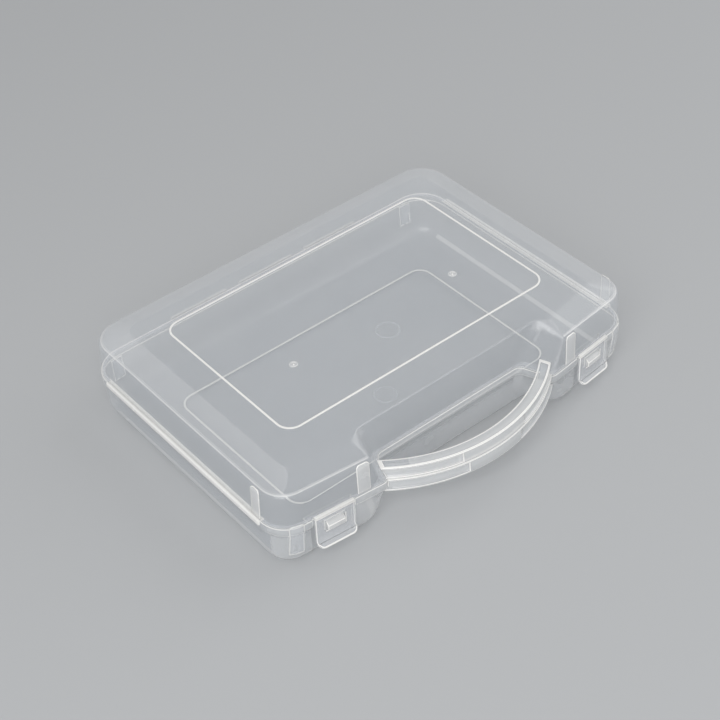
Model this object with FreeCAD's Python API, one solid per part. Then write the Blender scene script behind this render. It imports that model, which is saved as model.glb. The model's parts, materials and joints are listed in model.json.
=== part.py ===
import FreeCAD
import Part
import math
import os

# Flat hinged carry case moulded in clear polypropylene: a base tray and a lid of about equal
# height, joined behind by three film hinges, closed in front by two snap latches, and carried
# by an arched handle whose lower half is on the base and whose upper half is on the lid.
# Millimetres. The origin is on the resting face, below the centre of the lid's raised outline.
# +X runs along the case, -Y is the handle side, +Z is up.

# Plan of the case at the seam between base and lid
LENGTH = 190.0            # over the side walls
REAR_REACH = 65.4         # from the origin to the rear wall
FRONT_REACH = 69.5        # from the origin to the shoulders, at the middle of the latches
SHOULDER_SLANT = 5.7      # degrees by which each shoulder runs back towards its outer corner
RECESS_DEPTH = 11.8       # how far the wall behind the handle is set back from the shoulders
SHOULDER_WIDTH = 50.0     # from the mouth of the recess to the side wall
RECESS_FLARE = 6.0        # by which the recess widens on each side from its back to its mouth
REAR_CORNER_R = 14.0
FRONT_CORNER_R = 12.0
RECESS_R = 4.0            # hollow corner at the back of the recess
LID_ROOT_R = 3.0          # outer corner beside the handle, on the lid and on the rim
BASE_ROOT_R = 11.0        # the same corner lower down on the base

# Heights and walls
BASE_HEIGHT = 21.5
SEAM_GAP = 0.2
LID_HEIGHT = 19.85
WALL = 1.4
FLOOR = 1.5
BASE_DRAFT = 3.0          # degrees
LID_DRAFT = 2.0           # degrees
BOTTOM_R = 5.0            # rounding between floor and outer walls
RECESS_BOTTOM_R = 2.0     # the same at the back of the recess
ROOT_BOTTOM_R = 11.0      # the same at the sides of the recess
BELT_HEIGHT = 4.2         # stiffening belt below the seam
BELT_PROUD = 0.45

# Sloped border of the lid's top, from the outer edge up to the crease
BORDER_DROP = 4.0
SIDE_BORDER = 12.4
REAR_BORDER = 11.5
SHOULDER_BORDER = 11.5
CREASE_SLANT = 9.8        # degrees, crease over the shoulders
EDGE_ROUND = 2.0          # how far the rounded outer edge reaches along each face
CREASE_ROUND = 1.4        # the same at the crease
CREASE_REAR_R = 7.0
CREASE_FRONT_R = 4.0
RAMP_RUN = 7.0            # how far the recess's side walls lean outwards on their way up
CREASE_ROOT_SHIFT = 0.6   # crease's inner end, beyond the edge's corner beside the recess
CREASE_RECESS_SHIFT = 1.0  # the same at the back of the recess

# Ledges on the base's belt along the side walls
LEDGE_PROUD = 1.5         # beyond the side walls
LEDGE_RISE = 0.6          # above the base's rim
LEDGE_FALL = 1.7          # below the base's rim
LEDGE_CLEAR = 0.3         # beside the lid
LEDGE_R = 0.8             # outer corners at both ends
LEDGE_END = 1.0           # short of the rear corner's rounding

# Film hinges behind
HINGE_OFFSET = 1.8        # axis behind the rear wall
HINGE_WIDTH = 29.5
HINGE_PITCH = 37.0
HINGE_LEAF = 1.0          # leaf thickness at its root
HINGE_TAPER = 0.9         # length over which a leaf thins towards the axis
HINGE_FILM = 0.3          # leaf thickness at the film
HINGE_CLEAR = 0.1         # leaf's end to the axis

# Snap latches, hung from the lid's rim
LATCH_INSET = 24.6        # latch's middle from the side wall
LATCH_WIDTH = 18.2
LATCH_THICK = 1.2
LATCH_CLEAR = 0.3         # behind the flap
LATCH_BEND_DROP = 12.0    # bend of the finger lip below the seam
LIP_LENGTH = 3.5
LIP_ANGLE = 45.0
LIP_CORNER_R = 2.8
WINDOW_WIDTH = 9.0
WINDOW_HEIGHT = 5.0
WINDOW_DROP = 3.2         # window's upper edge below the seam
ROOT_HEIGHT = 0.8         # bar on the lid's rim that carries the flap
CATCH_CLEAR = 0.4         # between the window and the catch
CATCH_SIDE_CLEAR = 0.5
CATCH_NOSE = 0.8          # catch beyond the flap's face
CATCH_LAND = 2.4          # square part of the catch's nose

# Pockets of the base behind the latches
POCKET_SIDE = 0.6         # between the flap and the pocket's sides
POCKET_DEPTH = 3.5
POCKET_DROP = 3.6         # pocket's ceiling below the seam
POCKET_R = 2.2

# Arched handle, round an upright axis in front of the origin
HANDLE_OUT = 11.4         # inside of the arch in front of the shoulders, at its middle
HANDLE_BOW = 17.0         # inside of the arch at its middle in front of that at the recess's mouth
HANDLE_TOP_WIDTH = 5.0
HANDLE_SEAM_WIDTH = 5.9
HANDLE_FOOT_WIDTH = 6.4
HANDLE_RISE = 5.4         # above the seam
HANDLE_FALL = 5.9         # below the seam
HANDLE_WALL = 1.3
PANEL_SINK = 0.5          # sunk panels in the handle's outer face
PANEL_EDGE = 1.0          # rim left round a panel
UPPER_PANEL_START = 13.0  # degrees from the handle's middle to the panels of its upper half
LOWER_PANEL_START = 11.0  # the same for its lower half

# Raised outlines, on the lid's top and on the floor
OUTLINE_SIDE = 12.0       # lid's outline inside the side creases
OUTLINE_REAR = 10.9       # the same inside the rear crease
OUTLINE_FRONT = 15.3      # the same behind the wall of the recess
FLOOR_SIDE = 25.0         # floor's outline inside the side walls
FLOOR_REAR = 25.7         # the same inside the rear wall
FLOOR_FRONT = 12.6        # the same behind the wall of the recess
OUTLINE_R = 7.0
OUTLINE_LINE = 0.9
OUTLINE_RISE = 0.4

# Moulding gates on the lid's top
GATE_INSET = 26.8         # from the sides of the lid's outline
GATE_SHIFT = 12.0         # in front of the origin
GATE_D = 3.6
GATE_HOLE_D = 1.8
GATE_RISE = 0.35

# Upright pads on the walls
PAD_PROUD = 0.5
PAD_R = 1.6               # upper corners of pads and guide tabs
PAD_CLEAR = 0.1           # lid pad's foot above the bars that carry the latches
PAD_HEAD = 0.3            # lid pad's head below the lid's edge
FRONT_PAD_WIDTH = 6.0
FRONT_PAD_INSET = 1.0     # from the corner beside the recess
SIDE_PAD_WIDTH = 5.5
SIDE_PAD_INSET = 11.0     # from the front corner
TAB_WIDTH = 6.0           # guide tabs on the base's front corners
TAB_INSET = 5.0           # from the side wall
TAB_RISE = 1.4            # above the seam
TAB_CLEAR = 0.3           # in front of the lid
REAR_RIB_WIDTH = 6.0
REAR_RIB_INSET = 10.0     # from the side wall
RIB_FOOT = 6.0            # lower ends of tabs and ribs above the resting face

# Values that follow from the sizes above
HALF = LENGTH / 2
MOUTH_HALF = HALF - SHOULDER_WIDTH
RECESS_HALF = MOUTH_HALF - RECESS_FLARE
LATCH_X = HALF - LATCH_INSET
LID_BOTTOM = BASE_HEIGHT + SEAM_GAP
LID_TOP = LID_BOTTOM + LID_HEIGHT
EDGE_Z = LID_TOP - BORDER_DROP
EDGE_INSET = math.tan(math.radians(LID_DRAFT)) * (EDGE_Z - LID_BOTTOM)
CREASE_X = HALF - EDGE_INSET - SIDE_BORDER
CREASE_Y = REAR_REACH - EDGE_INSET - REAR_BORDER
OUTLINE_X = CREASE_X - OUTLINE_SIDE
PAD_Z = LID_BOTTOM + SEAM_GAP + ROOT_HEIGHT + PAD_CLEAR
HANDLE_R = (MOUTH_HALF ** 2 + HANDLE_BOW ** 2) / (2 * HANDLE_BOW)
HANDLE_AXIS = FRONT_REACH + HANDLE_OUT - HANDLE_R
BELT_Z = BASE_HEIGHT - BELT_HEIGHT
HINGE_Y = REAR_REACH + HINGE_OFFSET
RECESS_Y = RECESS_DEPTH - FRONT_REACH
LATCH_FACE = LATCH_CLEAR + LATCH_THICK
SMALLEST_R = 0.5
BEYOND = 5.0              # how far cutting shapes reach past what they cut
ROUND_STEPS = 6


def point(x, y, z=0.0):
    return FreeCAD.Vector(x, y, z)


def plan(side, rear, front, slant, recess_front, recess_back, recess):
    """Corners of the case's plan, anticlockwise from the right rear one."""
    rise = math.tan(math.radians(slant))
    outer = front + rise * (side - LATCH_X)
    inner = front + rise * (recess_front - LATCH_X)
    right = [(recess_back, recess), (recess_front, inner), (side, outer), (side, rear)]
    left = [(-x, y) for x, y in reversed(right)]
    return [point(*right[-1])] + [point(x, y) for x, y in left] + [point(x, y) for x, y in right[:-1]]


def by_edge(rear, side, shoulder, ramp, recess):
    """One value for each edge of the plan."""
    return [rear, side, shoulder, ramp, recess, ramp, shoulder, side]


def by_corner(rear, front, root, recess):
    """One value for each corner of the plan."""
    return [rear, rear, front, root, recess, recess, root, front]


def even(inset):
    return by_edge(inset, inset, inset, inset, inset)


def inset_corners(corners, insets):
    """Corners after each edge moves inwards by its own inset."""
    count = len(corners)
    lines = []
    for i in range(count):
        along = (corners[(i + 1) % count] - corners[i]).normalize()
        inwards = point(-along.y, along.x)
        lines.append((corners[i] + inwards * insets[i], along))
    moved = []
    for i in range(count):
        start, along = lines[i - 1]
        other, across = lines[i]
        gap = other - start
        reach = (gap.x * across.y - gap.y * across.x) / (along.x * across.y - along.y * across.x)
        moved.append(start + along * reach)
    return moved


def inset_radii(radii, insets):
    """Outer corners tighten and the two hollow corners of the recess widen."""
    hollow = by_corner(False, False, False, True)
    changed = []
    for i, radius in enumerate(radii):
        inset = (insets[i - 1] + insets[i]) / 2
        changed.append(radius + inset if hollow[i] else max(radius - inset, SMALLEST_R))
    return changed


def rounded_wire(corners, radii, z):
    """Closed wire of lines and corner arcs at one height."""
    count = len(corners)
    arcs = []
    for i in range(count):
        before = (corners[i - 1] - corners[i]).normalize()
        after = (corners[(i + 1) % count] - corners[i]).normalize()
        half = before.getAngle(after) / 2
        reach = radii[i] / math.tan(half)
        depth = radii[i] / math.sin(half) - radii[i]
        inwards = (before + after).normalize()
        arcs.append([corners[i] + before * reach, corners[i] + inwards * depth, corners[i] + after * reach])
    lift = point(0, 0, z)
    edges = []
    for i, (start, middle, end) in enumerate(arcs):
        following = arcs[(i + 1) % count][0]
        edges.append(Part.Arc(start + lift, middle + lift, end + lift).toShape())
        edges.append(Part.LineSegment(end + lift, following + lift).toShape())
    return Part.Wire(edges)


def solid_through(levels):
    """Solid through levels of (height, corners, radii)."""
    wires = [rounded_wire(corners, radii, z) for z, corners, radii in levels]
    return Part.makeLoft(wires, True, True)


def prism(points, along):
    """Solid of a flat polygon pushed along a vector."""
    return Part.Face(Part.makePolygon(points + points[:1])).extrude(along)


def box(low, high):
    return Part.makeBox(high.x - low.x, high.y - low.y, high.z - low.z, low)


def crowned_box(low, high):
    """Box for a pad, with the upper corners of its outer face rounded."""
    shape = box(low, high)
    crown = [edge for edge in shape.Edges if edge.BoundBox.ZMin > high.z - SMALLEST_R
             and edge.Length > min(high.x - low.x, high.y - low.y) + SMALLEST_R]
    return shape.makeFillet(PAD_R, crown)


def mirrored(shape):
    return shape.mirror(point(0, 0), point(1, 0))


def on_shoulder(shape):
    """Moves a shape drawn on a straight wall, with -Y outwards, onto the right shoulder."""
    placed = shape.copy()
    placed.rotate(point(0, 0), point(0, 0, 1), SHOULDER_SLANT)
    placed.translate(point(LATCH_X, -FRONT_REACH))
    return placed


def shoulder_bar(section, width):
    """Bar across the shoulder from a section of (outwards, height) points."""
    points = [point(-width / 2, -out, z) for out, z in section]
    return prism(points, point(width, 0, 0))


SEAM_PLAN = plan(HALF, REAR_REACH, -FRONT_REACH, SHOULDER_SLANT, MOUTH_HALF, RECESS_HALF, RECESS_Y)
LID_RADII = by_corner(REAR_CORNER_R, FRONT_CORNER_R, LID_ROOT_R, RECESS_R)
BASE_RADII = by_corner(REAR_CORNER_R, FRONT_CORNER_R, BASE_ROOT_R, RECESS_R)


def level(z, plan_corners, plan_radii, insets):
    return (z, inset_corners(plan_corners, insets), inset_radii(plan_radii, insets))


def round_inset(radius, height):
    """Inset of a rounded bottom edge at a height above it."""
    if height >= radius:
        return 0.0
    return radius - math.sqrt(radius ** 2 - (radius - height) ** 2)


def base_levels(inset, floor):
    """Levels of the base's skin, or of its cavity for an inset of one wall."""
    outer_r = BOTTOM_R - inset
    root_r = ROOT_BOTTOM_R - inset
    recess_r = max(RECESS_BOTTOM_R - inset, SMALLEST_R)
    draft = math.tan(math.radians(BASE_DRAFT))
    levels = []
    for step in range(ROUND_STEPS + 1):
        height = max(outer_r, root_r) * (1 - math.cos(math.pi / 2 * step / ROUND_STEPS))
        drawn_in = inset + draft * (BASE_HEIGHT - floor - height)
        outer = drawn_in + round_inset(outer_r, height)
        root = drawn_in + round_inset(root_r, height)
        recess = drawn_in + round_inset(recess_r, height)
        insets = by_edge(outer, outer, outer, root, recess)
        levels.append(level(floor + height, SEAM_PLAN, BASE_RADII, insets))
    return levels


def base_skin():
    draft = math.tan(math.radians(BASE_DRAFT))
    levels = base_levels(0.0, 0.0)
    levels.append(level(BELT_Z, SEAM_PLAN, LID_RADII, even(draft * BELT_HEIGHT)))
    levels.append(level(BELT_Z + BELT_PROUD, SEAM_PLAN, LID_RADII, even(-BELT_PROUD)))
    levels.append(level(BASE_HEIGHT, SEAM_PLAN, LID_RADII, even(-BELT_PROUD)))
    return solid_through(levels)


def base_cavity():
    draft = math.tan(math.radians(BASE_DRAFT))
    levels = base_levels(WALL, FLOOR)
    levels.append(level(BELT_Z, SEAM_PLAN, LID_RADII, even(WALL + draft * BELT_HEIGHT)))
    levels.append(level(BASE_HEIGHT + BEYOND, SEAM_PLAN, LID_RADII, even(WALL - draft * BEYOND)))
    return solid_through(levels)


def lid_levels(bottom, proud):
    """Levels of the lid's skin from a lower end, standing proud of the real one."""
    draft = math.tan(math.radians(LID_DRAFT))
    low = draft * (bottom - LID_BOTTOM) - proud
    high = EDGE_INSET - proud
    seam = level(bottom, SEAM_PLAN, LID_RADII, by_edge(low, low, low, -proud, -proud))
    edge = level(EDGE_Z, SEAM_PLAN, LID_RADII, by_edge(high, high, high, RAMP_RUN - proud, -proud))
    return [seam, edge]


def lid_edge_corners():
    """The lid edge's right-hand corners: recess, root beside it, and front."""
    corners = lid_levels(LID_BOTTOM, 0.0)[1][1]
    return corners[-3:]


def crease_level(z, inset, recess_inset):
    """The crease round the flat middle of the lid's top."""
    recess, root, _ = lid_edge_corners()
    corners = plan(CREASE_X, CREASE_Y, SHOULDER_BORDER + EDGE_INSET - FRONT_REACH, CREASE_SLANT,
                   root.x + CREASE_ROOT_SHIFT, recess.x + CREASE_RECESS_SHIFT, RECESS_Y)
    radii = by_corner(CREASE_REAR_R, CREASE_FRONT_R, LID_ROOT_R, RECESS_R)
    return level(z, corners, radii, by_edge(inset, inset, inset, recess_inset, recess_inset))


def between(first, second, share):
    """Level part of the way from one level to another."""
    z = first[0] + (second[0] - first[0]) * share
    corners = [a + (b - a) * share for a, b in zip(first[1], second[1])]
    radii = [a + (b - a) * share for a, b in zip(first[2], second[2])]
    return (z, corners, radii)


def rounded_turn(start, turn, end):
    """Levels of a rounding that heads for the turn at its start and comes from it at its end."""
    levels = []
    for step in range(ROUND_STEPS + 1):
        share = step / ROUND_STEPS
        levels.append(between(between(start, turn, share), between(turn, end, share), share))
    return levels


def lid_skin(proud):
    """The lid's outside, or a skin that stands proud of it."""
    seam, edge = lid_levels(LID_BOTTOM, proud)
    crease = crease_level(LID_TOP, -proud, -proud)
    top = crease_level(LID_TOP, CREASE_ROUND - proud, CREASE_ROUND - proud)
    slope = math.hypot(SIDE_BORDER, BORDER_DROP)
    below_edge = between(edge, seam, EDGE_ROUND / (EDGE_Z - LID_BOTTOM))
    above_edge = between(edge, crease, EDGE_ROUND / slope)
    below_crease = between(crease, edge, CREASE_ROUND / slope)
    levels = [seam] + rounded_turn(below_edge, edge, above_edge)
    return solid_through(levels + rounded_turn(below_crease, crease, top))


def lid_cavity():
    """The lid's hollow, one wall inside its skin on the upright and on the sloped faces."""
    slope = math.atan2(BORDER_DROP, SIDE_BORDER)
    edge_drop = WALL * (1 / math.cos(slope) - math.tan(slope))
    crease_inset = WALL * math.tan(slope / 2)
    seam, edge = lid_levels(LID_BOTTOM - BEYOND, -WALL)
    edge = (EDGE_Z - edge_drop, edge[1], edge[2])
    return solid_through([seam, edge, crease_level(LID_TOP - WALL, crease_inset, WALL)])


def pocket_cutter(wall):
    """Space in front of a latch pocket, grown by a wall for the base's inside."""
    radius = POCKET_R - wall
    outer = LATCH_WIDTH / 2 + POCKET_SIDE + wall
    inner = -outer
    depth = POCKET_DEPTH + wall
    turn = radius * (1 - math.sqrt(0.5))
    low = -BEYOND
    corners = [point(inner, depth), point(inner, wall + radius), point(inner - radius, wall),
               point(inner - radius, low), point(outer + radius, low), point(outer + radius, wall),
               point(outer, wall + radius), point(outer, depth)]
    left_arc = Part.Arc(corners[1], point(inner - turn, wall + turn), corners[2])
    right_arc = Part.Arc(corners[5], point(outer + turn, wall + turn), corners[6])
    edges = []
    for i in range(len(corners)):
        if i == 1:
            edges.append(left_arc.toShape())
        elif i == 5:
            edges.append(right_arc.toShape())
        else:
            edges.append(Part.LineSegment(corners[i], corners[(i + 1) % len(corners)]).toShape())
    height = BASE_HEIGHT - POCKET_DROP + wall
    shape = Part.Face(Part.Wire(edges)).extrude(point(0, 0, height + BEYOND))
    shape.translate(point(0, 0, -BEYOND))
    return on_shoulder(shape)


def belt_cutter():
    """Takes the belt back to the wall behind a latch."""
    reach = LATCH_WIDTH / 2 + POCKET_SIDE
    return on_shoulder(box(point(-reach, -BEYOND, BELT_Z - BELT_PROUD),
                           point(reach, 0, BASE_HEIGHT + BEYOND)))


def base_tray(skin):
    pocket = pocket_cutter(0.0)
    grown = pocket_cutter(WALL)
    belt = belt_cutter()
    cavity = base_cavity().cut(grown).cut(mirrored(grown))
    shape = skin.cut(pocket).cut(mirrored(pocket))
    shape = shape.cut(belt).cut(mirrored(belt))
    return shape.cut(cavity)


def lid_shell(skin):
    return skin.cut(lid_cavity())


def side_ledge():
    """Right-hand ledge on the base's belt, from the lid's side pad to the rear corner."""
    belt_x = HALF + BELT_PROUD
    lid_x = HALF + LEDGE_CLEAR
    outer_x = HALF + LEDGE_PROUD
    top = BASE_HEIGHT + LEDGE_RISE
    foot = BASE_HEIGHT - LEDGE_FALL
    y = SEAM_PLAN[-1].y + SIDE_PAD_INSET
    length = REAR_REACH - REAR_CORNER_R - LEDGE_END - y
    section = [point(belt_x, y, foot), point(outer_x, y, foot), point(outer_x, y, top),
               point(lid_x, y, top), point(lid_x, y, BASE_HEIGHT), point(belt_x, y, BASE_HEIGHT)]
    shape = prism(section, point(0, length, 0))
    ends = [edge for edge in shape.Edges if edge.BoundBox.ZLength > LEDGE_FALL
            and edge.BoundBox.XMin > outer_x - SMALLEST_R]
    return shape.makeFillet(LEDGE_R, ends)


def hinge_leaf(middle_x, upwards):
    """One leaf of a film hinge, thick at the wall and thin at the film."""
    sign = 1 if upwards else -1
    start_z = LID_BOTTOM if upwards else BASE_HEIGHT
    end_y = HINGE_Y - HINGE_CLEAR
    thin_y = HINGE_Y - HINGE_TAPER
    wall_y = REAR_REACH - WALL
    x = middle_x - HINGE_WIDTH / 2
    section = [point(x, wall_y, start_z), point(x, end_y, start_z),
               point(x, end_y, start_z + sign * HINGE_FILM),
               point(x, thin_y, start_z + sign * HINGE_LEAF),
               point(x, wall_y, start_z + sign * HINGE_LEAF)]
    return prism(section, point(HINGE_WIDTH, 0, 0))


def latch_flap():
    """Right-hand flap with its window and its turned-out finger lip."""
    turn = math.radians(LIP_ANGLE)
    bend_z = BASE_HEIGHT - LATCH_BEND_DROP
    lip = (LATCH_FACE + LIP_LENGTH * math.sin(turn), bend_z - LIP_LENGTH * math.cos(turn))
    heel = (lip[0] - LATCH_THICK * math.cos(turn), lip[1] - LATCH_THICK * math.sin(turn))
    inner_bend = (LATCH_CLEAR, bend_z - LATCH_THICK * math.tan(turn / 2))
    flap = shoulder_bar([(LATCH_CLEAR, LID_BOTTOM), (LATCH_FACE, LID_BOTTOM), (LATCH_FACE, bend_z),
                         lip, heel, inner_bend], LATCH_WIDTH)
    lower = [edge for edge in flap.Edges if edge.BoundBox.XLength < SMALLEST_R
             and edge.BoundBox.ZMax < lip[1] + SMALLEST_R]
    flap = flap.makeFillet(LIP_CORNER_R, lower)
    top = BASE_HEIGHT - WINDOW_DROP
    window = box(point(-WINDOW_WIDTH / 2, -BEYOND, top - WINDOW_HEIGHT),
                 point(WINDOW_WIDTH / 2, BEYOND, top))
    return on_shoulder(flap.cut(window))


def latch_root(skin):
    """Bar on the lid's rim from which the flap hangs."""
    low = LID_BOTTOM + SEAM_GAP
    bar = shoulder_bar([(-WALL, low), (LATCH_FACE, low), (LATCH_FACE, low + ROOT_HEIGHT),
                        (-WALL, low + ROOT_HEIGHT)], LATCH_WIDTH)
    return on_shoulder(bar).cut(skin)


def catch():
    """Hook on the pocket's back wall that reaches through the latch's window."""
    top = BASE_HEIGHT - WINDOW_DROP - CATCH_CLEAR
    bottom = BASE_HEIGHT - WINDOW_DROP - WINDOW_HEIGHT + CATCH_CLEAR
    nose = LATCH_FACE + CATCH_NOSE
    width = WINDOW_WIDTH - 2 * CATCH_SIDE_CLEAR
    ceiling = min(top, BASE_HEIGHT - POCKET_DROP)
    section = [(-POCKET_DEPTH, bottom), (nose, bottom), (nose, bottom + CATCH_LAND),
               (LATCH_CLEAR, ceiling), (-POCKET_DEPTH, ceiling)]
    return on_shoulder(shoulder_bar(section, width))


def arch(section, first, last):
    """Turns a section of (radius, height) points round the handle's axis between two angles."""
    points = [point(0, -HANDLE_AXIS - radius, z) for radius, z in section]
    face = Part.Face(Part.makePolygon(points + points[:1]))
    face.rotate(point(0, -HANDLE_AXIS), point(0, 0, 1), first)
    return face.revolve(point(0, -HANDLE_AXIS), point(0, 0, 1), last - first)


def handle_half(near_z, far_z, near_width, far_width, panel_start, skin):
    """A channel open towards the seam, with a sunk panel towards each root in its outer face."""
    sign = 1 if far_z > near_z else -1
    inner_r = HANDLE_R + HANDLE_WALL
    roof_z = far_z - sign * HANDLE_WALL
    near_r = HANDLE_R + near_width
    far_r = HANDLE_R + far_width
    section = [(HANDLE_R, near_z), (HANDLE_R, far_z), (far_r, far_z), (near_r, near_z),
               (near_r - HANDLE_WALL, near_z), (far_r - HANDLE_WALL, roof_z), (inner_r, roof_z),
               (inner_r, near_z)]
    spread = math.degrees(math.asin(MOUTH_HALF / HANDLE_R) + BEYOND / HANDLE_R)
    shape = arch(section, -spread, spread)
    slope = (far_r - near_r) / (far_z - near_z)
    low_z = near_z + sign * PANEL_EDGE
    high_z = far_z - sign * PANEL_EDGE
    low_r = near_r + slope * (low_z - near_z)
    high_r = near_r + slope * (high_z - near_z)
    sunk = [(low_r - PANEL_SINK, low_z), (high_r - PANEL_SINK, high_z),
            (high_r + BEYOND, high_z), (low_r + BEYOND, low_z)]
    for first, last in ((panel_start, spread), (-spread, -panel_start)):
        shape = shape.cut(arch(sunk, first, last))
    return largest(shape.cut(skin))


def largest(shape):
    """The biggest solid of a cut, without the scraps behind a wall."""
    return max(shape.Solids, key=lambda solid: solid.Volume)


def raised_outline(half, front, rear, z):
    """A thin rectangular ridge with rounded corners."""
    def frame_face(inset):
        x = half - inset
        low = front + inset
        high = rear - inset
        corners = [point(x, high), point(-x, high), point(-x, low), point(x, low)]
        return Part.Face(rounded_wire(corners, [OUTLINE_R - inset] * len(corners), z))
    ring = frame_face(0.0).cut(frame_face(OUTLINE_LINE))
    return ring.extrude(point(0, 0, OUTLINE_RISE)).Solids[0]


def gate_rings():
    """Two small ring marks left by the moulding gates."""
    rings = []
    for x in (GATE_INSET - OUTLINE_X, OUTLINE_X - GATE_INSET):
        place = point(x, -GATE_SHIFT, LID_TOP)
        ring = Part.makeCylinder(GATE_D / 2, GATE_RISE, place)
        rings.append(ring.cut(Part.makeCylinder(GATE_HOLE_D / 2, GATE_RISE, place)))
    return Part.makeCompound([ring.Solids[0] for ring in rings])


def lid_pad(skin, space):
    """Pad on the lid's outer wall, inside a space."""
    return largest(lid_skin(PAD_PROUD).common(space).cut(skin))


def front_pad(skin):
    _, root, _ = lid_edge_corners()
    low = point(root.x + FRONT_PAD_INSET, -FRONT_REACH - BEYOND, PAD_Z)
    high = point(low.x + FRONT_PAD_WIDTH, RECESS_Y, EDGE_Z - PAD_HEAD)
    return lid_pad(skin, crowned_box(low, high))


def side_pad(skin):
    low = point(HALF - FRONT_CORNER_R, SEAM_PLAN[-1].y + SIDE_PAD_INSET, PAD_Z)
    high = point(HALF + BEYOND, low.y + SIDE_PAD_WIDTH, EDGE_Z - PAD_HEAD)
    return lid_pad(skin, crowned_box(low, high))


def base_pad(skin, space):
    """Pad on the base's outer wall and belt, inside a space."""
    draft = math.tan(math.radians(BASE_DRAFT))
    proud = BELT_PROUD + PAD_PROUD
    foot = level(RIB_FOOT, SEAM_PLAN, LID_RADII, even(draft * (BASE_HEIGHT - RIB_FOOT) - PAD_PROUD))
    belt = level(BELT_Z, SEAM_PLAN, LID_RADII, even(-proud))
    head = level(BASE_HEIGHT + BEYOND, SEAM_PLAN, LID_RADII, even(-proud))
    return largest(solid_through([foot, belt, head]).common(space).cut(skin))


def guide_tab(skin):
    """Right-hand tab on the base's front corner that guides the lid's rim from outside."""
    low = point(HALF - TAB_INSET - TAB_WIDTH, -FRONT_REACH - BEYOND, RIB_FOOT)
    high = point(HALF - TAB_INSET, RECESS_Y, BASE_HEIGHT + TAB_RISE)
    lid_room = solid_through([level(BASE_HEIGHT, SEAM_PLAN, LID_RADII, even(-TAB_CLEAR)),
                              level(BASE_HEIGHT + BEYOND, SEAM_PLAN, LID_RADII, even(-TAB_CLEAR))])
    return largest(base_pad(skin, crowned_box(low, high)).cut(lid_room))


def rear_rib(skin):
    """Right-hand rib on the base's rear wall, below the seam."""
    low = point(HALF - REAR_RIB_INSET - REAR_RIB_WIDTH, REAR_REACH - REAR_CORNER_R, RIB_FOOT)
    high = point(HALF - REAR_RIB_INSET, REAR_REACH + BEYOND, BELT_Z)
    return base_pad(skin, box(low, high))


def build():
    base = base_skin()
    lid = lid_skin(0.0)
    parts = {
        "base_tray": base_tray(base),
        "lid_shell": lid_shell(lid),
        "handle_lower": handle_half(BASE_HEIGHT, BASE_HEIGHT - HANDLE_FALL,
                                    HANDLE_SEAM_WIDTH, HANDLE_FOOT_WIDTH, LOWER_PANEL_START, base),
        "handle_upper": handle_half(LID_BOTTOM, LID_BOTTOM + HANDLE_RISE,
                                    HANDLE_SEAM_WIDTH, HANDLE_TOP_WIDTH, UPPER_PANEL_START, lid),
        "lid_outline": raised_outline(OUTLINE_X, RECESS_Y + OUTLINE_FRONT,
                                      CREASE_Y - OUTLINE_REAR, LID_TOP),
        "floor_outline": raised_outline(HALF - FLOOR_SIDE, RECESS_Y + FLOOR_FRONT,
                                        REAR_REACH - FLOOR_REAR, FLOOR),
        "lid_gate_rings": gate_rings(),
    }
    for name, number in (("left", -1), ("middle", 0), ("right", 1)):
        x = number * HINGE_PITCH
        parts["hinge_leaf_lower_" + name] = hinge_leaf(x, False).cut(base)
        parts["hinge_leaf_upper_" + name] = hinge_leaf(x, True).cut(lid)
    pairs = {
        "latch_flap": latch_flap(),
        "latch_root": latch_root(lid),
        "latch_catch": catch(),
        "side_ledge": side_ledge(),
        "lid_front_pad": front_pad(lid),
        "lid_side_pad": side_pad(lid),
        "guide_tab": guide_tab(base),
        "rear_rib": rear_rib(base),
    }
    for name, shape in pairs.items():
        parts[name + "_right"] = shape
        parts[name + "_left"] = mirrored(shape)
    return parts


os.makedirs("parts", exist_ok=True)
for node, shape in build().items():
    print(node, len(shape.Solids), round(shape.Volume, 1), shape.isValid())
    shape.exportStep("parts/" + node + ".step")
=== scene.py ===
import json
import math

import bmesh
import bpy
from mathutils import Matrix, Vector
from mathutils.bvhtree import BVHTree


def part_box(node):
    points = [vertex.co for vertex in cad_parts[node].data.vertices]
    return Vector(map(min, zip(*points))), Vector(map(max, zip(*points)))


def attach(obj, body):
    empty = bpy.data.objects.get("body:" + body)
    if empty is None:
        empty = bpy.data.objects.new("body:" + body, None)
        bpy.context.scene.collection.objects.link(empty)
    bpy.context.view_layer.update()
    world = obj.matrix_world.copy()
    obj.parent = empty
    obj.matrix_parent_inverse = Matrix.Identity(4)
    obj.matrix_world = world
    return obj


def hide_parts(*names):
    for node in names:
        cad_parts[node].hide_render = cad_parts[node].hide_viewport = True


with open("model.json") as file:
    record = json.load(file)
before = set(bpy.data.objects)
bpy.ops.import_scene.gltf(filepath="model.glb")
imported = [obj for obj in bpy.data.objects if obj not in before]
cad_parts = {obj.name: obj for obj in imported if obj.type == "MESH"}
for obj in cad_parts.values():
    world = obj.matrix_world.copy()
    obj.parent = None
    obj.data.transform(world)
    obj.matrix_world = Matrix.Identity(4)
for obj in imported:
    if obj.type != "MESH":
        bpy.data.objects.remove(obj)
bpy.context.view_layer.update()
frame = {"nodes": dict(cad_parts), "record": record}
MM = 0.001
nodes = frame["nodes"]
body_of_node = {node: body for body, members in frame["record"]["behaviour"]["bodies"].items()
                for node in members}


# Colours and shader nodes

def colour(code):
    """Linear colour of an sRGB hex code."""
    parts = [int(code[i:i + 2], 16) / 255 for i in (1, 3, 5)]
    return [p / 12.92 if p <= 0.04045 else ((p + 0.055) / 1.055) ** 2.4 for p in parts] + [1.0]


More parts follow.
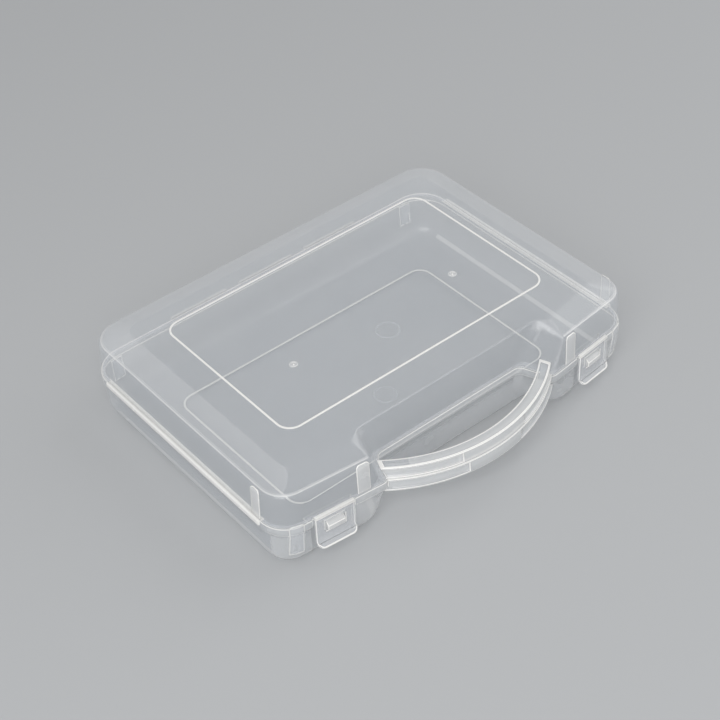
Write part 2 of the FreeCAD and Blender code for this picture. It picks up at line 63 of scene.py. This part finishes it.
def add_node(material, kind, settings=None, **values):
    """New shader node with its settings and its input values or links."""
    node = material.node_tree.nodes.new(kind)
    for name, value in (settings or {}).items():
        setattr(node, name, value)
    for name, value in values.items():
        socket = node.inputs[name.replace("_", " ")]
        if isinstance(value, bpy.types.NodeSocket):
            material.node_tree.links.new(value, socket)
        else:
            socket.default_value = value
    return node


# Sizes of the patterns in the moulded plastic
HAZE_CLOUD = 24 * MM
FLOW_MARK = 7 * MM
WAVE = 16 * MM


def polypropylene(name, pale, deep, solid, smooth, rough):
    """Moulded clear polypropylene: a slight haze in clouds, flow marks in the gloss, fine waviness.
    A share of solid below 1 weakens the gloss too, so the refraction index is raised from 1.49 to keep it."""
    material = bpy.data.materials.new(name)
    material.use_nodes = True
    material.node_tree.nodes.clear()
    place = add_node(material, "ShaderNodeTexCoord").outputs["Object"]
    haze = add_node(material, "ShaderNodeTexNoise", Vector=place, Scale=1 / HAZE_CLOUD, Detail=3.0)
    tint = add_node(material, "ShaderNodeMix", {"data_type": "RGBA"})
    tint.inputs[6].default_value = colour(deep)
    tint.inputs[7].default_value = colour(pale)
    material.node_tree.links.new(haze.outputs["Fac"], tint.inputs[0])
    marks = add_node(material, "ShaderNodeTexNoise", Vector=place, Scale=1 / FLOW_MARK, Detail=5.0)
    gloss = add_node(material, "ShaderNodeMapRange", Value=marks.outputs["Fac"], From_Min=0.3, From_Max=0.7,
                     To_Min=smooth, To_Max=rough)
    waves = add_node(material, "ShaderNodeTexNoise", Vector=place, Scale=1 / WAVE, Detail=1.0)
    bump = add_node(material, "ShaderNodeBump", Height=waves.outputs["Fac"], Strength=0.08, Distance=0.4 * MM)
    shader = add_node(material, "ShaderNodeBsdfPrincipled", Base_Color=tint.outputs[2],
                      Roughness=gloss.outputs["Result"], Normal=bump.outputs["Normal"], Alpha=solid,
                      IOR=1.49 + 0.5 * (1 - solid), Specular_IOR_Level=1 - solid / 2)
    output = add_node(material, "ShaderNodeOutputMaterial")
    material.node_tree.links.new(shader.outputs["BSDF"], output.inputs["Surface"])
    return material


# Injection-moulded clear polypropylene. A thin wall is nearly clear with a milky haze, and the plastic looks
# whiter where it is thicker, where it turns, and at the edges by which the light in it leaves.
# Thin moulded wall: nearly clear, with a faint bluish haze.
clear_wall = polypropylene("clear polypropylene wall", "#E6EAEF", "#D3DAE2", 0.18, 0.12, 0.22)
# Inner face of such a wall: almost unseen, so that the haze of a wall isn't counted twice.
inner_wall = polypropylene("clear polypropylene inner face", "#E6EAEF", "#D3DAE2", 0.05, 0.12, 0.22)
# Belt, flaps and tabs: cloudier, but what lies behind still shows. On the lid's sloped borders it is a painted
# sheen.
milky_wall = polypropylene("milky polypropylene wall", "#EEF0F3", "#E0E4E9", 0.29, 0.14, 0.26)
# Handle, ribs and front of the base: thick enough to look plainly milky. On the lid it paints the softer
# highlight beside the outer edge.
thick_plastic = polypropylene("thick milky polypropylene", "#F2F3F4", "#E7EAEC", 0.38, 0.16, 0.28)
# Solid pads and catches: half white. It also paints the softer lines, the painted highlights along the lid's
# outer edge and the base's bottom edge.
pad_plastic = polypropylene("pad of milky polypropylene", "#F5F5F4", "#EBECED", 0.55, 0.16, 0.28)
# Rounded edges and rims: light leaves the plastic there, so they show as pale lines.
edge_plastic = polypropylene("polypropylene edge", "#F8F7F4", "#EFEFED", 0.78, 0.18, 0.32)
# Raised outline and side ledges: the whitest lines of the case.
ridge_plastic = polypropylene("polypropylene ridge", "#FAF9F6", "#F3F2F0", 0.92, 0.18, 0.32)
# Polypropylene that is folded thin at the hinges goes white.
film_plastic = polypropylene("whitened polypropylene film", "#F7F6F3", "#ECECEA", 0.75, 0.22, 0.38)


# Floor, light and camera

def floor_material():
    material = bpy.data.materials.new("pale floor")
    material.use_nodes = True
    shader = material.node_tree.nodes["Principled BSDF"]
    shader.inputs["Base Color"].default_value = colour("#B6B8BA")
    shader.inputs["Roughness"].default_value = 0.6
    return material


def make_floor():
    mesh = bpy.data.meshes.new("floor")
    built = bmesh.new()
    bmesh.ops.create_grid(built, x_segments=1, y_segments=1, size=6.0)
    built.to_mesh(mesh)
    built.free()
    floor = bpy.data.objects.new("floor", mesh)
    floor.location.z = -0.02 * MM
    mesh.materials.append(floor_material())
    bpy.context.scene.collection.objects.link(floor)


def make_lamp(name, place, aim, size, power):
    data = bpy.data.lights.new(name, "AREA")
    data.shape = "DISK"
    data.size = size
    data.energy = power
    lamp = bpy.data.objects.new(name, data)
    lamp.location = place
    lamp.rotation_mode = "QUATERNION"
    lamp.rotation_quaternion = (Vector(aim) - Vector(place)).to_track_quat("-Z", "Y")
    bpy.context.scene.collection.objects.link(lamp)


# The photograph's camera, found by fitting the case's edges: degrees, millimetres and pixels
AZIMUTH, ELEVATION, ROLL = -37.79, 41.57, 2.93
ASIDE, RAISED, AWAY = 0.1, 7.67, 713.5
FOCAL_PIXELS = 1630
PHOTO_PIXELS = 720


def make_camera():
    azimuth, elevation, roll = (math.radians(a) for a in (AZIMUTH, ELEVATION, ROLL))
    right = Vector((math.cos(azimuth), math.sin(azimuth), 0))
    back = Vector((math.sin(azimuth) * math.cos(elevation), -math.cos(azimuth) * math.cos(elevation),
                   math.sin(elevation)))
    up = back.cross(right)
    place = (right * ASIDE + up * RAISED + back * AWAY) * MM
    across = right * math.cos(roll) - up * math.sin(roll)
    upright = right * math.sin(roll) + up * math.cos(roll)
    data = bpy.data.cameras.new("camera")
    data.sensor_width = 36.0
    data.lens = data.sensor_width * FOCAL_PIXELS / PHOTO_PIXELS
    camera = bpy.data.objects.new("camera", data)
    camera.matrix_world = Matrix.Translation(place) @ Matrix((across, upright, back)).transposed().to_4x4()
    bpy.context.scene.collection.objects.link(camera)
    bpy.context.scene.camera = camera


def make_world():
    world = bpy.data.worlds.new("studio")
    world.use_nodes = True
    background = world.node_tree.nodes["Background"]
    background.inputs["Color"].default_value = colour("#EDEDED")
    background.inputs["Strength"].default_value = 0.55
    bpy.context.scene.world = world


make_floor()
make_world()
make_camera()
make_lamp("key", (-0.9, -0.8, 1.0), (0, 0, 0), 1.4, 15.5)
make_lamp("fill", (1.1, -0.2, 0.9), (0, 0, 0), 1.4, 5.5)
bpy.context.scene.view_settings.view_transform = "Standard"
bpy.context.scene.cycles.transparent_max_bounces = 40


# Pieces

# Places in a piece's list of materials
BODY, EDGE, INNER, MILKY, THICK, LINE = range(6)
SHELL = (clear_wall, edge_plastic, inner_wall, milky_wall, thick_plastic, pad_plastic)
# Measures of the case that its finishes follow, in millimetres
SEAM = 21.6             # height of the gap between base and lid
HEART_X, HEART_Y = 75.0, 45.0  # half sizes of the middle of the hollow
RIM = 1.0               # a rim's roundings end this far from the seam
BELT = 4.3              # the belt's lower end, below the seam
BELT_TURN = 0.7         # and its sloped underside, below that
SIDE_WALL = 92.0        # inside of the side walls' rim
LEDGE_ENDS = (-56.0, 50.4)  # front and rear ends of the side ledges
EDGE_LOW = 34.0         # the lid's outer edge begins above this
EDGE_HIGH = 38.15       # and its border above this
FRONT = -50.0           # everything in front of this belongs to the handle's recess or the shoulders
ROOT_FRONT = -60.0      # the columns beside the handle begin in front of this
RECESS_HALF = 54.0      # half the width of the recess with its columns' slopes
COLUMN_HALF = 58.0      # half the width with the columns' corners
RECESS_EDGE = 38.0      # height of the rounding at the top of the recess
BOTTOM_ROUND = 3.3      # the base's bottom rounding ends here
OUTLINE_FRONT = -44.0   # front run of the outline on the floor
LATCH_BEND = 8.9        # height of the bend between a latch's flap and its finger lip
BEND_REACH = 1.2        # the bend's rounding reaches this far up and down
HANDLE_EDGE = 0.75      # outer edges of a handle half lie this near to its top or bottom
TOP_HIGHLIGHT = 0.4       # painted highlight round the handle's top
LIP_LINE = 0.45         # bright line round a finger lip
CLEAR_END = 11.0        # clear ends of the handle's top
CROSS_BAR = 1.1         # bright bar at each end
# Direction in which the handle's right end looks
END_TURN = (0.926, 0.378)
# Upward share of a face's normal
# The first two ranges pick the painted highlight along the lid's outer edge and its softer band.
HIGHLIGHT_TURN = (0.76, 0.88)
HIGHLIGHT_FALLOFF = (0.88, 0.94)
BORDER_SLOPE = (0.9, 0.985)


def cad_copy(node):
    """Merged copy of a CAD node's mesh, with the triangles of its flat faces joined."""
    built = bmesh.new()
    built.from_mesh(nodes[node].data)
    bmesh.ops.remove_doubles(built, verts=built.verts, dist=0.002 * MM)
    bmesh.ops.dissolve_limit(built, angle_limit=math.radians(0.5), verts=built.verts, edges=built.edges)
    for face in built.faces:
        face.material_index = BODY
    return built


def soften(built, width, least):
    """Rounds the outer edges that turn by more than an angle. The roundings get the edge's finish."""
    sharp = [e for e in built.edges if len(e.link_faces) == 2 and e.is_convex
             and e.calc_face_angle(0) > math.radians(least)]
    made = bmesh.ops.bevel(built, geom=sharp, offset=width, offset_type="OFFSET", affect="EDGES", segments=2,
                           profile=0.5, material=-1, clamp_overlap=False)
    for face in made["faces"]:
        face.material_index = EDGE


def open_contacts(built, carrier):
    """Deletes the faces that lie on the carrying node, because moulded plastic has no wall there."""
    mesh = nodes[carrier].data
    tree = BVHTree.FromPolygons([v.co for v in mesh.vertices], [p.vertices for p in mesh.polygons])
    hidden = []
    for face in built.faces:
        centre = face.calc_center_median()
        samples = [centre] + [centre.lerp(v.co, 0.9) for v in face.verts]
        if all(tree.find_nearest(p)[3] < 0.03 * MM for p in samples):
            hidden.append(face)
    bmesh.ops.delete(built, geom=hidden, context="FACES")


def piece_from(built, name, body, materials):
    """Smooth-shaded piece that rides on a body."""
    mesh = bpy.data.meshes.new(name)
    built.to_mesh(mesh)
    built.free()
    for material in materials:
        mesh.materials.append(material)
    mesh.polygons.foreach_set("use_smooth", [True] * len(mesh.polygons))
    mesh.set_sharp_from_angle(angle=math.radians(32))
    piece = bpy.data.objects.new(name, mesh)
    bpy.context.scene.collection.objects.link(piece)
    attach(piece, body)
    return piece


def moulding(node, width, materials, carrier=None, paint=None, least=25.0):
    """Piece that stands for a CAD node, with rounded edges."""
    built = cad_copy(node)
    soften(built, width * MM, least)
    if carrier:
        open_contacts(built, carrier)
    if paint:
        paint(built)
    piece = piece_from(built, node + "_moulding", body_of_node[node], materials)
    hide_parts(node)


def looks_inside(face, level=False):
    """Whether a face of a shell is turned towards the hollow of the case, or its level direction is."""
    place = face.calc_center_median() / MM
    heart = Vector((max(-HEART_X, min(HEART_X, place.x)), max(-HEART_Y, min(HEART_Y, place.y)), SEAM))
    if level:
        heart.z = place.z
    return face.normal.dot(place - heart) < -0.01


def split_rim(built):
    """Cuts a flat rim at the ends of the ledges, so that the runs beside them can differ in finish."""
    for end in LEDGE_ENDS:
        rim = [f for f in built.faces if abs(f.normal.z) > 0.99
               and abs(f.calc_center_median().z - SEAM * MM) < 0.2 * MM]
        edges = {e for f in rim for e in f.edges}
        corners = {v for f in rim for v in f.verts}
        bmesh.ops.bisect_plane(built, geom=rim + list(edges) + list(corners), plane_co=(0, end * MM, 0),
                               plane_no=(0, 1, 0))


def seam_finish(face):
    """Finish of a rim's face: white beside the ledges and along the outer line."""
    x, y, _ = face.calc_center_median() / MM
    outer_line = face.material_index == EDGE and not looks_inside(face, level=True)
    beside_ledge = abs(x) > SIDE_WALL and LEDGE_ENDS[0] < y < LEDGE_ENDS[1]
    return EDGE if outer_line or beside_ledge else MILKY


def paint_lid(built):
    """The side and rear borders are whiter than the top, a painted sheen, and a thin painted highlight with a
    softer one beside it follows the outer edge.
    """
    split_rim(built)
    for face in built.faces:
        x, y, height = face.calc_center_median() / MM
        aside, rearwards, up = face.normal
        beside_handle = abs(x) < RECESS_HALF and y < FRONT
        side_or_rear = abs(aside) > 0.15 or rearwards > 0.1
        column_corner = abs(x) < COLUMN_HALF and y < ROOT_FRONT and 0.2 < abs(aside) < 0.78
        if height < SEAM + RIM and (up < -0.9 or face.material_index == EDGE):
            face.material_index = seam_finish(face)
        elif looks_inside(face):
            face.material_index = INNER
        elif column_corner or (beside_handle and height > RECESS_EDGE and 0.3 < up < 0.95):
            face.material_index = MILKY
        # Painted highlight along the lid's outer edge, and a softer painted highlight just below it.
        elif not beside_handle and height > EDGE_LOW and HIGHLIGHT_TURN[0] < up < HIGHLIGHT_TURN[1]:
            face.material_index = LINE
        elif not beside_handle and EDGE_LOW < height < EDGE_HIGH and HIGHLIGHT_FALLOFF[0] <= up < HIGHLIGHT_FALLOFF[1]:
            face.material_index = THICK
        # Painted sheen on the sloped side and rear borders.
        elif height > EDGE_LOW and BORDER_SLOPE[0] < up < BORDER_SLOPE[1] and side_or_rear:
            face.material_index = MILKY


def paint_base(built):
    """The belt is milkier than the walls, the front is denser still, and a painted highlight follows the
    bottom edge.
    """
    split_rim(built)
    for face in built.faces:
        height = face.calc_center_median().z / MM
        _, rearwards, up = face.normal
        if height > SEAM - RIM and (up > 0.9 or face.material_index == EDGE):
            face.material_index = seam_finish(face)
        elif face.material_index == EDGE:
            continue
        elif looks_inside(face) or (height > SEAM - BELT - BELT_TURN and -0.97 < up < -0.4):
            face.material_index = INNER
        # Painted highlight along the base's bottom edge, except at the rear.
        elif height < BOTTOM_ROUND and -0.85 < up < -0.7 and rearwards < 0.05:
            face.material_index = LINE
        elif up < 0.5 and rearwards < -0.3:
            face.material_index = THICK
        elif up >= -0.25 and height > SEAM - BELT:
            face.material_index = MILKY


def paint_handle(built):
    """Bright lines follow the outer edges and the ribs, but not the long edges of the sunk panels."""
    heights = [v.co.z for v in built.verts]
    low = min(heights) + HANDLE_EDGE * MM
    high = max(heights) - HANDLE_EDGE * MM
    for face in built.faces:
        between = low < face.calc_center_median().z < high
        if face.material_index == EDGE and between and abs(face.normal.z) > 0.2:
            face.material_index = BODY


def handle_top(built):
    """Flat top of the handle, without its bright border."""
    highest = max(v.co.z for v in built.verts)
    return [f for f in built.faces if f.normal.z > 0.99 and f.material_index != EDGE
            and f.calc_center_median().z > highest - 0.1 * MM]


def paint_upper_handle(built):
    """A painted highlight also runs along both edges of the handle's top, and its clear ends meet a bright
    bar.
    """
    paint_handle(built)
    top = handle_top(built)
    # Painted highlight along both edges of the top.
    line = bmesh.ops.inset_region(built, faces=top, thickness=TOP_HIGHLIGHT * MM, use_even_offset=True)
    for face in line["faces"]:
        face.material_index = EDGE
    for side in (-1, 1):
        outwards = Vector((END_TURN[0] * side, END_TURN[1], 0))
        reach = max(v.co.dot(outwards) for f in handle_top(built) for v in f.verts)
        for length, finish in ((CLEAR_END * MM, INNER), (CROSS_BAR * MM, EDGE)):
            top = handle_top(built)
            edges = {e for f in top for e in f.edges}
            corners = {v for f in top for v in f.verts}
            bmesh.ops.bisect_plane(built, geom=top + list(edges) + list(corners),
                                   plane_co=outwards * (reach - length), plane_no=outwards)
            for face in handle_top(built):
                if face.calc_center_median().dot(outwards) > reach - length:
                    face.material_index = finish


def paint_floor_outline(built):
    """The front run is clear and the others are white."""
    for face in built.faces:
        if face.calc_center_median().y < OUTLINE_FRONT * MM:
            face.material_index = INNER


def paint_latch(built):
    """The finger lip has a bright rim round its end, but its bend has no line."""
    bend = LATCH_BEND * MM
    for face in built.faces:
        _, out, up = face.normal
        near_bend = abs(face.calc_center_median().z - bend) < BEND_REACH * MM
        if face.material_index == EDGE and near_bend and math.hypot(out, up) > 0.9:
            face.material_index = BODY
    lip = [f for f in built.faces if f.normal.z > 0.6 and f.calc_center_median().z < bend]
    line = bmesh.ops.inset_region(built, faces=lip, thickness=LIP_LINE * MM, use_even_offset=True)
    for face in line["faces"]:
        face.material_index = EDGE if face.calc_center_median().z < bend else BODY


def film_fold(name, body, middle, along, length, radius):
    """Bead of thin film on a fold line. It is round about that line, so it joins both sides at every angle."""
    built = bmesh.new()
    place = Matrix.Translation(middle) @ along.to_track_quat("Z", "Y").to_matrix().to_4x4()
    bmesh.ops.create_cone(built, cap_ends=True, segments=16, radius1=radius, radius2=radius, depth=length,
                          matrix=place)
    ends = [e for e in built.edges if any(len(f.verts) > 4 for f in e.link_faces)]
    bmesh.ops.bevel(built, geom=ends, offset=radius * 0.6, affect="EDGES", segments=2, profile=0.5,
                    material=-1)
    piece_from(built, name, body, (film_plastic,))


def turned_mark(name, body, centre, profile, material):
    """Small round mark of the mould, turned from a profile of (radius, height) points in millimetres."""
    built = bmesh.new()
    corners = [built.verts.new(Vector(centre) + Vector((out, 0, up)) * MM) for out, up in profile]
    runs = [built.edges.new(pair) for pair in zip(corners, corners[1:])]
    bmesh.ops.spin(built, geom=corners + runs, cent=centre, axis=(0, 0, 1), angle=math.tau, steps=48,
                   use_merge=True)
    bmesh.ops.remove_doubles(built, verts=built.verts, dist=0.001 * MM)
    bmesh.ops.recalc_face_normals(built, faces=built.faces)
    piece_from(built, name, body, (material,))


handle_part = (thick_plastic, ridge_plastic)
upper_handle_part = (thick_plastic, ridge_plastic, clear_wall)
latch_part = (milky_wall, ridge_plastic)
pad_part = (pad_plastic, ridge_plastic)
tab_part = (milky_wall, edge_plastic)
floor_part = (edge_plastic, edge_plastic, clear_wall)
bright_part = (edge_plastic, edge_plastic)
ridge_part = (ridge_plastic, ridge_plastic)
film_part = (film_plastic, film_plastic)
moulding("lid_shell", 0.3, SHELL, paint=paint_lid)
moulding("base_tray", 0.3, SHELL, paint=paint_base, least=50.0)
moulding("handle_upper", 0.4, upper_handle_part, carrier="lid_shell", paint=paint_upper_handle)
moulding("handle_lower", 0.4, handle_part, carrier="base_tray", paint=paint_handle)
moulding("lid_outline", 0.15, ridge_part, carrier="lid_shell")
moulding("floor_outline", 0.15, floor_part, carrier="base_tray", paint=paint_floor_outline)
moulding("lid_gate_rings", 0.12, handle_part, carrier="lid_shell")
for side in ("left", "right"):
    moulding("latch_flap_" + side, 0.3, latch_part, paint=paint_latch)
    moulding("latch_root_" + side, 0.2, bright_part, carrier="lid_shell")
    moulding("latch_catch_" + side, 0.3, pad_part, carrier="base_tray")
    moulding("side_ledge_" + side, 0.25, ridge_part, carrier="base_tray")
    moulding("lid_front_pad_" + side, 0.3, pad_part, carrier="lid_shell")
    moulding("lid_side_pad_" + side, 0.3, pad_part, carrier="lid_shell")
    moulding("guide_tab_" + side, 0.25, tab_part, carrier="base_tray")
    moulding("rear_rib_" + side, 0.25, handle_part, carrier="base_tray")
for place in ("left", "middle", "right"):
    moulding("hinge_leaf_lower_" + place, 0.1, film_part, carrier="base_tray")
    moulding("hinge_leaf_upper_" + place, 0.1, film_part, carrier="lid_shell")

# Films of the hinges, on the joints' own lines
LATCH_WIDTH = 18.2 * MM
LID_FILM = 0.3 * MM
LATCH_FILM = 0.2 * MM
joints = {joint["name"]: joint for joint in frame["record"]["behaviour"]["joints"]}
lid_axis = Vector(joints["lid_hinge"]["pos_m"])
for place in ("left", "middle", "right"):
    leaf_low, leaf_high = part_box("hinge_leaf_lower_" + place)
    middle = Vector(((leaf_low[0] + leaf_high[0]) / 2, lid_axis.y, lid_axis.z))
    film_fold("hinge_film_" + place, "base", middle, Vector((1, 0, 0)), leaf_high[0] - leaf_low[0], LID_FILM)
for side in ("left", "right"):
    joint = joints["latch_" + side + "_hinge"]
    film_fold("latch_film_" + side, "lid", Vector(joint["pos_m"]), Vector(joint["axis"]), LATCH_WIDTH,
              LATCH_FILM)

# Ejector marks under the lid's top and on the floor, and the nubs in the middle of the gates
LID_TOP = 41.55
LID_UNDERSIDE = 40.15
FLOOR_TOP = 1.5
MARK_R, MARK_INNER_R, MARK_PROUD = 5.2, 4.7, 0.06
LID_MARK_Y = -20.0
FLOOR_MARK_Y = -17.0
RING_R = 1.8
mark = [(MARK_R, 0), (MARK_R, MARK_PROUD), (MARK_INNER_R, MARK_PROUD), (MARK_INNER_R, 0)]
mark_below = [(out, -up) for out, up in mark]
turned_mark("lid_ejector_mark", "lid", (0, LID_MARK_Y * MM, LID_UNDERSIDE * MM), mark_below, milky_wall)
turned_mark("floor_ejector_mark", "base", (0, FLOOR_MARK_Y * MM, FLOOR_TOP * MM), mark, milky_wall)
rings_low, rings_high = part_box("lid_gate_rings")
for side, x in (("left", rings_low[0] + RING_R * MM), ("right", rings_high[0] - RING_R * MM)):
    turned_mark("gate_nub_" + side, "lid", (x, (rings_low[1] + rings_high[1]) / 2, LID_TOP * MM),
                [(0.5, 0), (0.48, 0.12), (0.35, 0.22), (0, 0.25)], ridge_plastic)
